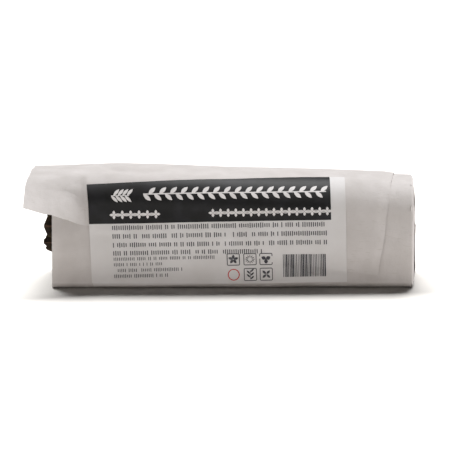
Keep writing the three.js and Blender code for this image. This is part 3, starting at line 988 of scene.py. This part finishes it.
def leaf_blade(tree, size):
    """One leaf from its root at the origin to its tip at X = -1: widest past its middle, with
    a toothed edge, a raised midrib and veins that run forwards from it"""
    grid = {"Size X": 1.0, "Size Y": 1.0, "Vertices X": LEAF_STATIONS, "Vertices Y": LEAF_COLUMNS}
    blade = add(tree, "GeometryNodeMeshGrid", grid).outputs["Mesh"]
    x, y, _ = parts_of(tree, position(tree))
    length_share = calc(tree, "ADD", x, 0.5)
    side = calc(tree, "MULTIPLY", y, 2.0)
    blade = add(tree, "GeometryNodeStoreNamedAttribute",
                {"Geometry": blade, "Name": "leaf_place", "Value": vector(tree, length_share, side)},
                data_type="FLOAT_VECTOR", domain="POINT").outputs[0]
    off_midrib = calc(tree, "ABSOLUTE", side)
    swell = calc(tree, "MULTIPLY", calc(tree, "POWER", length_share, 0.8), LEAF_SWELL)
    outline = calc(tree, "MULTIPLY_ADD", calc(tree, "SINE", swell), 1 - LEAF_ROOT_WIDTH, LEAF_ROOT_WIDTH)
    round_tip = calc(tree, "POWER", length_share, size["Bluntness"])
    round_tip = calc(tree, "SQRT", calc(tree, "SUBTRACT", 1.02, round_tip))
    tooth = calc(tree, "FRACT", calc(tree, "MULTIPLY", length_share, size["Teeth"]))
    cut = calc(tree, "MULTIPLY", calc(tree, "SUBTRACT", 1.0, tooth), size["Tooth depth"])
    cut = calc(tree, "MULTIPLY", cut, calc(tree, "POWER", off_midrib, 2.0))
    half = calc(tree, "MULTIPLY", calc(tree, "MULTIPLY", outline, round_tip), size["Leaf width"])
    half = calc(tree, "MULTIPLY", half, calc(tree, "SUBTRACT", 1.0, cut))
    curl = calc(tree, "MULTIPLY", calc(tree, "POWER", off_midrib, 2.0),
                calc(tree, "MULTIPLY", length_share, LEAF_CUPPING))
    rib = calc(tree, "MAXIMUM", calc(tree, "SUBTRACT", MIDRIB_REACH, off_midrib), 0.0)
    lean = calc(tree, "MULTIPLY", off_midrib, VEIN_LEAN)
    wave = calc(tree, "MULTIPLY", calc(tree, "MULTIPLY_ADD", length_share, VEINS, lean), FULL_TURN)
    vein = calc(tree, "MULTIPLY", calc(tree, "SINE", wave), VEIN_HEIGHT)
    height = calc(tree, "ADD", calc(tree, "ADD", curl, vein), rib)
    upper = placed(tree, blade, vector(
        tree, calc(tree, "MULTIPLY", length_share, -1.0), calc(tree, "MULTIPLY", side, half), height))
    downwards = {"Mesh": upper, "Offset": (0, 0, -1), "Offset Scale": LEAF_THICKNESS,
                 "Individual": False}
    lower = add(tree, "GeometryNodeExtrudeMesh", downwards).outputs["Mesh"]
    lower = add(tree, "GeometryNodeFlipFaces", {"Mesh": lower}).outputs[0]
    both = add(tree, "GeometryNodeJoinGeometry")
    for face in (upper, lower):
        tree.links.new(face, both.inputs[0])
    merge = {"Geometry": both.outputs[0], "Distance": 0.001}
    return add(tree, "GeometryNodeMergeByDistance", merge).outputs[0]


def leaves_on_stem(tree, size):
    """Leaves placed flat, with X along the stick and Z as the distance from the bundle's axis,
    and then laid round that axis"""
    seed = size["Seed"]
    line = add(tree, "GeometryNodeMeshLine", {"Count": size["Leaves"]}).outputs[0]
    from_first = calc(tree, "MULTIPLY", index(tree), size["Spacing"])
    root = calc(tree, "SUBTRACT", calc(tree, "SUBTRACT", size["First root"], from_first),
                random_between(tree, 0.0, 2.0, seed, 1))
    third = calc(tree, "GREATER_THAN", calc(tree, "MODULO", index(tree), 3.0), 1.5)
    inwards = calc(tree, "MULTIPLY", third, size["Inward"])
    way = calc(tree, "MULTIPLY_ADD", inwards, -2.0, 1.0)
    points = placed(tree, line, vector(tree, root, 0.0, calc(tree, "ADD", size["Leaf circle"], way)))
    splay = calc(tree, "MULTIPLY", random_between(tree, -1.0, 1.0, seed, 2), size["Splay"])
    turned = calc(tree, "MULTIPLY_ADD", index(tree), size["Leaf turn"], size["Angle"])
    turned = calc(tree, "ADD", turned, splay)
    points = add(tree, "GeometryNodeStoreNamedAttribute",
                 {"Geometry": points, "Name": "leaf_angle", "Value": turned},
                 data_type="FLOAT", domain="POINT").outputs[0]
    tip = random_between(tree, size["Furthest tip"], size["Shortest tip"], seed, 3)
    to_tip = calc(tree, "SUBTRACT", root, tip)
    grown_length = calc(tree, "MULTIPLY", size["Leaf length"], random_between(tree, 0.8, 1.0, seed, 4))
    scale = vector(tree, calc(tree, "MINIMUM", to_tip, grown_length),
                   random_between(tree, 0.8, 1.1, seed, 5), 1.0)
    pitch = calc(tree, "MULTIPLY", calc(tree, "MULTIPLY", size["Climb"], way),
                 random_between(tree, 0.6, 2.0, seed, 6))
    sway = calc(tree, "MULTIPLY", random_between(tree, -1.0, 1.0, seed, 7), size["Sway"])
    leaves = instances(tree, points, leaf_blade(tree, size), vector(tree, 0.0, pitch, sway), scale)
    leaves = add(tree, "GeometryNodeRealizeInstances", {0: leaves}).outputs[0]
    x, y, z = parts_of(tree, position(tree))
    clouds = add(tree, "ShaderNodeTexNoise", {"Vector": position(tree), "Scale": 0.24, "Detail": 2.0})
    ripple = calc(tree, "MULTIPLY", calc(tree, "SUBTRACT", clouds.outputs[0], 0.5), size["Ripple"])
    radius = calc(tree, "SMOOTH_MIN", calc(tree, "ADD", z, ripple), LEAF_REACH, 1.5)
    radius = calc(tree, "MAXIMUM", radius, 0.5)
    angle = add(tree, "GeometryNodeInputNamedAttribute", {"Name": "leaf_angle"}, data_type="FLOAT")
    angle = angle.outputs[0]
    limit = calc(tree, "MULTIPLY", calc(tree, "MAXIMUM", radius, 2.0), size["Limit"])
    wide = calc(tree, "DIVIDE", y, limit)
    spread = calc(tree, "MULTIPLY", calc(tree, "TANH", wide), size["Limit"])
    return placed(tree, leaves, round_the_axis(tree, x, radius, calc(tree, "ADD", angle, spread)))


def woody_stem(tree, size):
    """The stem itself, a little uneven and thinner towards its tip, with closed ends"""
    line = add(tree, "GeometryNodeMeshLine", {"Count": STEM_STATIONS}).outputs[0]
    share = calc(tree, "DIVIDE", index(tree), STEM_STATIONS - 1.0)
    x = calc(tree, "MULTIPLY_ADD", share, STEM_TIP - STEM_CUT_END, STEM_CUT_END)
    line = placed(tree, line, round_the_axis(tree, x, size["Circle"], size["Angle"]))
    path = add(tree, "GeometryNodeMeshToCurve", {0: line}).outputs[0]
    knobs = add(tree, "ShaderNodeTexNoise", {"Vector": position(tree), "Scale": 0.35, "Detail": 2.0})
    thick = calc(tree, "MULTIPLY_ADD", knobs.outputs[0], 0.5, 0.65)
    taper = calc(tree, "MULTIPLY_ADD", calc(tree, "POWER", share, 4.0), -0.75, 1.0)
    thick = calc(tree, "MULTIPLY", calc(tree, "MULTIPLY", thick, taper), size["Stem radius"])
    section = add(tree, "GeometryNodeCurvePrimitiveCircle", {"Resolution": 10, "Radius": 1.0}).outputs[0]
    inputs = {"Curve": path, "Profile Curve": section, "Scale": thick, "Fill Caps": True}
    return add(tree, "GeometryNodeCurveToMesh", inputs).outputs[0]


def leafy_stem_tree(material):
    tree, size = new_tree("leafy_stem", {
        "Leaves": 24, "First root": 34.0, "Spacing": 3.1, "Leaf length": 41.0, "Leaf width": 5.2,
        "Teeth": 12.0, "Tooth depth": 0.22, "Bluntness": 9.0, "Circle": STEM_CIRCLE,
        "Leaf circle": STEM_CIRCLE, "Climb": 0.1, "Inward": 1.0, "Angle": 0.0, "Leaf turn": 0.0,
        "Splay": 0.4, "Sway": 0.07, "Ripple": 2.2, "Limit": 0.8, "Shortest tip": -44.6,
        "Furthest tip": -48.2, "Stem radius": STEM_RADIUS, "Seed": 1})
    return close_tree(tree, [leaves_on_stem(tree, size), woody_stem(tree, size)], material)


# The two leaves that show past the paper at the front, as (angle, leaf circle, leaf width,
# bluntness, furthest tip)
FRONT_LEAVES = [
    (math.radians(171), 10.4, 5.6, 30.0, -47.9),
    (math.radians(191), 9.8, 7.2, 3.0, -48.0),
]
FRONT_STEM = 5


def leafy_stems(material):
    """One stem in the middle of the bundle and six round it"""
    tree = leafy_stem_tree(material)
    for number in range(1, SIDE_STEMS + 2):
        name = f"dried_stem_{number}"
        if number == 1:
            shapes = [plain_mesh(name, tree, circle=0.0, leaf_circle=0.0, climb=0.075, inward=0.0,
                                 leaf_turn=GOLDEN_TURN, limit=1.1, seed=number)]
        else:
            angle = (number - 2) * FULL_TURN / SIDE_STEMS
            shapes = [plain_mesh(name, tree, angle=angle, seed=number)]
        if number == FRONT_STEM:
            for k, (angle, circle, width, bluntness, tip) in enumerate(FRONT_LEAVES):
                shapes.append(plain_mesh(
                    name, tree, leaves=1, first_root=-12.0, angle=angle, leaf_circle=circle, climb=0.0,
                    splay=0.0, sway=0.0, ripple=0.4, leaf_width=width, bluntness=bluntness,
                    furthest_tip=tip, shortest_tip=tip, stem_radius=0.05, seed=k))
        piece = mesh_piece(name, [pressed_into_roll(shape) for shape in shapes])
        finish_piece(piece, material, [f"leafy_stem_{number}"], 50)


THREAD_CIRCLE = 12.75
THREAD_TURNS = 3.0
PLIES = 3
PLY_RADIUS = 0.24
PLY_OFFSET = 0.26
PLY_TWIST_LENGTH = 2.6
FIRST_ROUND = -38.0
LAST_ROUND = 45.0
ROUND_PITCH = 1.4
ROUNDS_AT_TIPS = 1.15
ROUNDS_AT_CUT_ENDS = 2.15
STEPS_IN_TWIST = 8
KNOT_SIZE = 1.05


def tube_round(tree, line, radius):
    path = add(tree, "GeometryNodeMeshToCurve", {0: line}).outputs[0]
    section = {"Resolution": 6, "Radius": radius}
    section = add(tree, "GeometryNodeCurvePrimitiveCircle", section).outputs[0]
    inputs = {"Curve": path, "Profile Curve": section, "Fill Caps": True}
    return add(tree, "GeometryNodeCurveToMesh", inputs).outputs[0]


def winding_tree(material):
    """Twisted plies that wind round the X axis"""
    tree, size = new_tree("winding", {
        "From": 0.0, "To": 10.0, "Turns": 1.0, "Circle": THREAD_CIRCLE, "Steps": 200,
        "Ply radius": PLY_RADIUS, "Ply offset": PLY_OFFSET, "Twist length": PLY_TWIST_LENGTH})
    run = calc(tree, "SUBTRACT", size["To"], size["From"])
    turned = calc(tree, "MULTIPLY", size["Turns"], FULL_TURN)
    around = calc(tree, "MULTIPLY", turned, size["Circle"])
    length = calc(tree, "SQRT", calc(tree, "ADD", calc(tree, "MULTIPLY", run, run),
                                     calc(tree, "MULTIPLY", around, around)))
    ahead, sideways = calc(tree, "DIVIDE", run, length), calc(tree, "DIVIDE", around, length)
    line = add(tree, "GeometryNodeMeshLine", {"Count": size["Steps"]}).outputs[0]
    share = calc(tree, "DIVIDE", index(tree), calc(tree, "SUBTRACT", size["Steps"], 1.0))
    angle = calc(tree, "MULTIPLY", share, turned)
    cos, sin = calc(tree, "COSINE", angle), calc(tree, "SINE", angle)
    x = calc(tree, "MULTIPLY_ADD", share, run, size["From"])
    twist = calc(tree, "MULTIPLY", calc(tree, "DIVIDE", length, size["Twist length"]), FULL_TURN)
    plies = []
    for ply in range(PLIES):
        phase = calc(tree, "MULTIPLY_ADD", share, twist, ply * FULL_TURN / PLIES)
        outwards = calc(tree, "MULTIPLY", calc(tree, "COSINE", phase), size["Ply offset"])
        beside = calc(tree, "MULTIPLY", calc(tree, "SINE", phase), size["Ply offset"])
        radius = calc(tree, "ADD", size["Circle"], outwards)
        beside_ahead = calc(tree, "MULTIPLY", beside, ahead)
        y_shift = calc(tree, "MULTIPLY", beside_ahead, sin)
        z_shift = calc(tree, "MULTIPLY", beside_ahead, cos)
        spot = vector(
            tree,
            calc(tree, "SUBTRACT", x, calc(tree, "MULTIPLY", beside, sideways)),
            calc(tree, "SUBTRACT", calc(tree, "MULTIPLY", radius, cos), y_shift),
            calc(tree, "ADD", calc(tree, "MULTIPLY", radius, sin), z_shift))
        plies.append(tube_round(tree, placed(tree, line, spot), size["Ply radius"]))
    return close_tree(tree, plies, material)


def knot_tree(material):
    """A small tight knot about the origin"""
    tree, size = new_tree("knot", {"Size": KNOT_SIZE, "Thickness": 0.42, "Steps": 90})
    line = add(tree, "GeometryNodeMeshLine", {"Count": size["Steps"]}).outputs[0]
    angle = calc(tree, "MULTIPLY", calc(tree, "DIVIDE", index(tree), size["Steps"]), FULL_TURN)
    twice, thrice = calc(tree, "MULTIPLY", angle, 2.0), calc(tree, "MULTIPLY", angle, 3.0)
    third = calc(tree, "DIVIDE", size["Size"], 3.0)

    def scaled(value):
        return calc(tree, "MULTIPLY", value, third)

    loop = vector(
        tree,
        scaled(calc(tree, "MULTIPLY_ADD", calc(tree, "SINE", twice), 2.0, calc(tree, "SINE", angle))),
        scaled(calc(tree, "MULTIPLY_ADD", calc(tree, "COSINE", twice), -2.0,
                    calc(tree, "COSINE", angle))),
        scaled(calc(tree, "MULTIPLY", calc(tree, "SINE", thrice), -1.2)))
    return close_tree(tree, [tube_round(tree, placed(tree, line, loop), size["Thickness"])], material)


def cotton_thread(material):
    """A round at the tips, a helix each way along the bundle, two rounds at the cut ends and a knot"""
    winding = winding_tree(material)
    windings = [
        (FIRST_ROUND, LAST_ROUND, THREAD_TURNS),
        (FIRST_ROUND, LAST_ROUND, -THREAD_TURNS),
        (FIRST_ROUND, FIRST_ROUND - ROUNDS_AT_TIPS * ROUND_PITCH, ROUNDS_AT_TIPS),
        (LAST_ROUND, LAST_ROUND + ROUNDS_AT_CUT_ENDS * ROUND_PITCH, ROUNDS_AT_CUT_ENDS),
    ]
    meshes = []
    for start, end, turns in windings:
        length = math.hypot(end - start, FULL_TURN * turns * THREAD_CIRCLE)
        steps = round(STEPS_IN_TWIST * length / PLY_TWIST_LENGTH)
        sizes = {"from": start, "to": end, "turns": turns, "steps": steps}
        meshes.append(plain_mesh("winding", winding, **sizes))
    knot = plain_mesh("knot", knot_tree(material))
    beside = THREAD_CIRCLE * math.sqrt(0.5)
    for vertex in knot.vertices:
        vertex.co += Vector((LAST_ROUND + 1, beside, beside))
    piece = mesh_piece("cotton_thread", [pressed_into_roll(mesh) for mesh in [*meshes, knot]])
    return finish_piece(piece, material, ["binding_thread"], 60)


# Materials

def add(tree, kind, inputs=None, **settings):
    """A node of a tree. Each input is a socket to link from, or a value."""
    made = tree.nodes.new(kind)
    for setting, value in settings.items():
        setattr(made, setting, value)
    for socket, value in (inputs or {}).items():
        if isinstance(value, bpy.types.NodeSocket):
            tree.links.new(value, made.inputs[socket])
        else:
            made.inputs[socket].default_value = value
    return made


def new_material(name, roughness, specular):
    """A material, its tree, its surface shader and the piece's own coordinates"""
    material = bpy.data.materials.new(name)
    material.use_nodes = True
    tree = material.node_tree
    shader = tree.nodes["Principled BSDF"]
    shader.inputs["Roughness"].default_value = roughness
    shader.inputs["Specular IOR Level"].default_value = specular
    return material, tree, shader, add(tree, "ShaderNodeTexCoord").outputs["Object"]


def between(tree, value, low, high):
    """0 where the value is low, 1 where it is high"""
    inputs = {"Value": value, "From Min": low, "From Max": high}
    return add(tree, "ShaderNodeMapRange", inputs).outputs["Result"]


def noise_between(tree, place, scale, low, high, detail=2.0):
    cloud = add(tree, "ShaderNodeTexNoise", {"Vector": place, "Scale": scale, "Detail": detail})
    return between(tree, cloud.outputs["Fac"], low, high)


def colour_mix(tree, share, first, second):
    inputs = {0: share, 6: first, 7: second}
    return add(tree, "ShaderNodeMix", inputs, data_type="RGBA").outputs[2]


def stretched(tree, place, scale):
    return add(tree, "ShaderNodeMapping", {"Vector": place, "Scale": scale}).outputs["Vector"]


def raise_bump(tree, shader, height, distance, strength=1.0):
    inputs = {"Height": height, "Distance": distance, "Strength": strength}
    below = shader.inputs["Normal"].links
    if below:
        inputs["Normal"] = below[0].from_socket
    bump = add(tree, "ShaderNodeBump", inputs)
    tree.links.new(bump.outputs["Normal"], shader.inputs["Normal"])


def wrapping_paper():
    """Thin greyish packing paper with cloudy patches and short fibres"""
    material, tree, shader, place = new_material("wrapping_paper", 0.88, 0.25)
    clouds = noise_between(tree, place, 170, 0.3, 0.7, 4)
    base = colour_mix(tree, clouds, (0.492, 0.465, 0.453, 1), (0.557, 0.529, 0.521, 1))
    fibre_place = stretched(tree, place, (500, 2600, 2600))
    fibres = noise_between(tree, fibre_place, 1, 0.62, 0.74, 1)
    colour = colour_mix(tree, fibres, base, (0.5, 0.472, 0.455, 1))
    tree.links.new(colour, shader.inputs["Base Color"])
    grain = noise_between(tree, place, 2600, 0.2, 0.8, 3)
    raise_bump(tree, shader, grain, 0.00004, 0.5)
    crumple = noise_between(tree, place, 260, 0.2, 0.8, 3)
    raise_bump(tree, shader, crumple, 0.00022, 0.5)
    return material


def label_paper():
    """Smooth white label stock with a faint satin finish"""
    material, tree, shader, place = new_material("label_paper", 0.6, 0.15)
    clouds = noise_between(tree, place, 120, 0.3, 0.7, 3)
    colour = colour_mix(tree, clouds, (0.59, 0.572, 0.568, 1), (0.64, 0.625, 0.627, 1))
    tree.links.new(colour, shader.inputs["Base Color"])
    raise_bump(tree, shader, noise_between(tree, place, 300, 0.2, 0.8, 3), 0.00012, 0.4)
    return material


# Fresh and worn colour of each ink
BLACK_INK = ((0.006, 0.006, 0.0065, 1), (0.015, 0.015, 0.018, 1))
WHITE_INK = ((0.7, 0.68, 0.68, 1), (0.6, 0.58, 0.58, 1))
GREY_INK = ((0.05, 0.05, 0.06, 1), (0.12, 0.12, 0.13, 1))
RED_INK = ((0.5, 0.05, 0.045, 1), (0.55, 0.1, 0.09, 1))
INK_ROUGHNESS = 0.5


def printing_ink(name, colour, worn, specular=0.3):
    """Ink whose colour changes in small worn patches"""
    material, tree, shader, place = new_material(name, INK_ROUGHNESS, specular)
    patches = noise_between(tree, place, 220, 0.45, 0.75, 4)
    tree.links.new(colour_mix(tree, patches, colour, worn), shader.inputs["Base Color"])
    return material


def dried_leaf():
    """Dark resinous leaf, nearly black, with a brown midrib and a painted olive rim highlight along its
    edges
    """
    material, tree, shader, place = new_material("dried_leaf", 0.65, 0.15)
    patches = noise_between(tree, place, 520, 0.42, 0.7, 4)
    colour = colour_mix(tree, patches, (0.011, 0.006, 0.004, 1), (0.035, 0.023, 0.011, 1))
    leaf_place = add(tree, "ShaderNodeAttribute", attribute_name="leaf_place").outputs["Vector"]
    off_midrib = calc(tree, "ABSOLUTE", parts_of(tree, leaf_place)[1])
    # The olive colour at the blade's edges is a painted rim highlight, standing in for light caught by
    # the leaves' rims
    edge = between(tree, off_midrib, 0.85, 1.0)
    colour = colour_mix(tree, edge, colour, (0.062, 0.05, 0.02, 1))
    midrib = between(tree, off_midrib, 0.1, 0.03)
    colour = colour_mix(tree, midrib, colour, (0.075, 0.04, 0.024, 1))
    tree.links.new(colour, shader.inputs["Base Color"])
    raise_bump(tree, shader, noise_between(tree, place, 1500, 0.2, 0.8, 3), 0.0002, 0.6)
    return material


def cotton():
    material, tree, shader, place = new_material("cotton_thread", 0.9, 0.15)
    patches = noise_between(tree, place, 900, 0.3, 0.7)
    colour = colour_mix(tree, patches, (0.55, 0.49, 0.36, 1), (0.68, 0.62, 0.48, 1))
    tree.links.new(colour, shader.inputs["Base Color"])
    return material


# Stage

CAMERA_ELEVATION = math.radians(11)
CAMERA_DISTANCE = 2.0
CAMERA_TARGET = Vector((0.00171, 0, 0.015))
CAMERA_LENS = 580
SOFTBOX_DISTANCE = 3.0
FLOOR_LIGHT_TILT = math.radians(31)
FLOOR_LIGHT_SPREAD = (math.radians(20), math.radians(14))
FLOOR_LIGHT_SIDE = math.radians(-5)
FLOOR_LIGHT = 3.8
TOP_LIGHT_TILT = math.radians(14)
TOP_LIGHT_SPREAD = (math.radians(20), math.radians(20))
TOP_LIGHT = 1.46
FRONT_LIGHT_TILT = math.radians(-40)
FRONT_LIGHT_SPREAD = (math.radians(8), math.radians(8))
FRONT_LIGHT = 0.13
FRONT_LIGHT_COLOUR = (1, 0.94, 0.88)
END_LIGHT_SIDE = math.radians(75)
END_LIGHT_SPREAD = (math.radians(10), math.radians(10))
END_LIGHT = 0.5
CARD_SIZE = (0.16, 0.006)
CARD_PLACE = Vector((0, -0.028, 0.003))
CARD_LIGHT = 0.0035
FLOOR_REACH = 4000
FLOOR_COLOUR = (0.55, 0.535, 0.515, 1)
WALL_LIGHT = (0.01, 0.01, 0.01, 1)
CEILING_LIGHT = (0.03, 0.03, 0.03, 1)


def camera():
    eye = bpy.data.objects.new("camera", bpy.data.cameras.new("camera"))
    eye.data.lens = CAMERA_LENS
    back = Vector((0, -math.cos(CAMERA_ELEVATION), math.sin(CAMERA_ELEVATION)))
    eye.location = CAMERA_TARGET + back * CAMERA_DISTANCE
    eye.rotation_euler = (QUARTER_TURN - CAMERA_ELEVATION, 0, 0)
    bpy.context.scene.collection.objects.link(eye)
    bpy.context.scene.camera = eye


def floor():
    corners = ((-1, -1), (1, -1), (1, 1), (-1, 1))
    points = [(x * FLOOR_REACH, y * FLOOR_REACH, 0) for x, y in corners]
    ground = mesh_object("floor", points, [(0, 1, 2, 3)])
    material, _, shader, _ = new_material("white_floor", 1, 0)
    shader.inputs["Base Color"].default_value = FLOOR_COLOUR
    ground.data.materials.append(material)
    return ground


def only_these(name, pieces):
    """A collection for a light to be linked to"""
    group = bpy.data.collections.new(name)
    for piece in pieces:
        group.objects.link(piece)
    return group


def softbox(name, tilt, spread, strength, receivers, colour=(1, 1, 1), side=0.0):
    """A light that faces the roll, tilted back from straight above and turned to the side, and
    the pieces it lights. Its spread is the half angles it fills along the roll and across it,
    and its strength is what a white sheet that faces it would reach."""
    lamp = bpy.data.lights.new(name, "AREA")
    lamp.shape = "RECTANGLE"
    lamp.size, lamp.size_y = [2 * SOFTBOX_DISTANCE * math.tan(angle) for angle in spread]
    lamp.energy = strength * (math.pi * SOFTBOX_DISTANCE) ** 2
    lamp.color = colour
    holder = bpy.data.objects.new(name, lamp)
    towards = Vector((math.tan(side), math.tan(tilt), 1)).normalized()
    holder.location = towards * SOFTBOX_DISTANCE
    holder.rotation_euler = towards.to_track_quat("Z", "Y").to_euler()
    bpy.context.scene.collection.objects.link(holder)
    holder.light_linking.receiver_collection = only_these(f"lit_by_{name}", receivers)


def reflector_card(receivers):
    """A low strip in front of the roll that brightens the foot of its front"""
    lamp = bpy.data.lights.new("reflector_card", "AREA")
    lamp.shape = "RECTANGLE"
    lamp.size, lamp.size_y = CARD_SIZE
    lamp.energy = CARD_LIGHT
    lamp.color = FRONT_LIGHT_COLOUR
    holder = bpy.data.objects.new("reflector_card", lamp)
    holder.location = CARD_PLACE
    holder.rotation_euler = (QUARTER_TURN, 0, 0)
    holder.visible_camera = False
    bpy.context.scene.collection.objects.link(holder)
    holder.light_linking.receiver_collection = only_these("lit_by_reflector_card", receivers)


def softboxes(ground):
    """The roll has a broad light from above, weaker ones from the front and at its folded end,
    and a card at its foot. The floor's own light comes from behind and a little from the left,
    and the floor throws it on to the roll's front."""
    pieces = [piece for piece in bpy.context.scene.objects if piece.type == "MESH" and piece != ground]
    softbox("floor_light", FLOOR_LIGHT_TILT, FLOOR_LIGHT_SPREAD, FLOOR_LIGHT, [ground],
            side=FLOOR_LIGHT_SIDE)
    softbox("top_light", TOP_LIGHT_TILT, TOP_LIGHT_SPREAD, TOP_LIGHT, pieces)
    softbox("front_light", FRONT_LIGHT_TILT, FRONT_LIGHT_SPREAD, FRONT_LIGHT, pieces, FRONT_LIGHT_COLOUR)
    softbox("end_light", 0, END_LIGHT_SPREAD, END_LIGHT, pieces, side=END_LIGHT_SIDE)
    reflector_card(pieces)


def surroundings():
    """Dim walls around the stage and a slightly lighter ceiling"""
    world = bpy.data.worlds.new("surroundings")
    world.use_nodes = True
    tree = world.node_tree
    direction = add(tree, "ShaderNodeTexCoord").outputs["Generated"]
    height = add(tree, "ShaderNodeSeparateXYZ", {"Vector": direction}).outputs["Z"]
    ramp = add(tree, "ShaderNodeValToRGB", {"Fac": height})
    walls, ceiling = ramp.color_ramp.elements
    walls.position, walls.color = 0.1, WALL_LIGHT
    ceiling.position, ceiling.color = 0.4, CEILING_LIGHT
    tree.links.new(ramp.outputs["Color"], tree.nodes["Background"].inputs["Color"])
    bpy.context.scene.world = world


def main():
    camera()
    ground = floor()
    surroundings()
    bpy.context.scene.view_settings.view_transform = "Standard"
    surface = LabelSurface()
    paper_sheet(wrapping_paper())
    front_label(surface, label_paper())
    label_band(surface, printing_ink("band_ink", *BLACK_INK, specular=0.25))
    white_prints(surface, printing_ink("white_ink", *WHITE_INK))
    dark_prints(surface, printing_ink("grey_ink", *GREY_INK))
    red_print(surface, printing_ink("red_ink", *RED_INK))
    leafy_stems(dried_leaf())
    cotton_thread(cotton())
    softboxes(ground)


main()
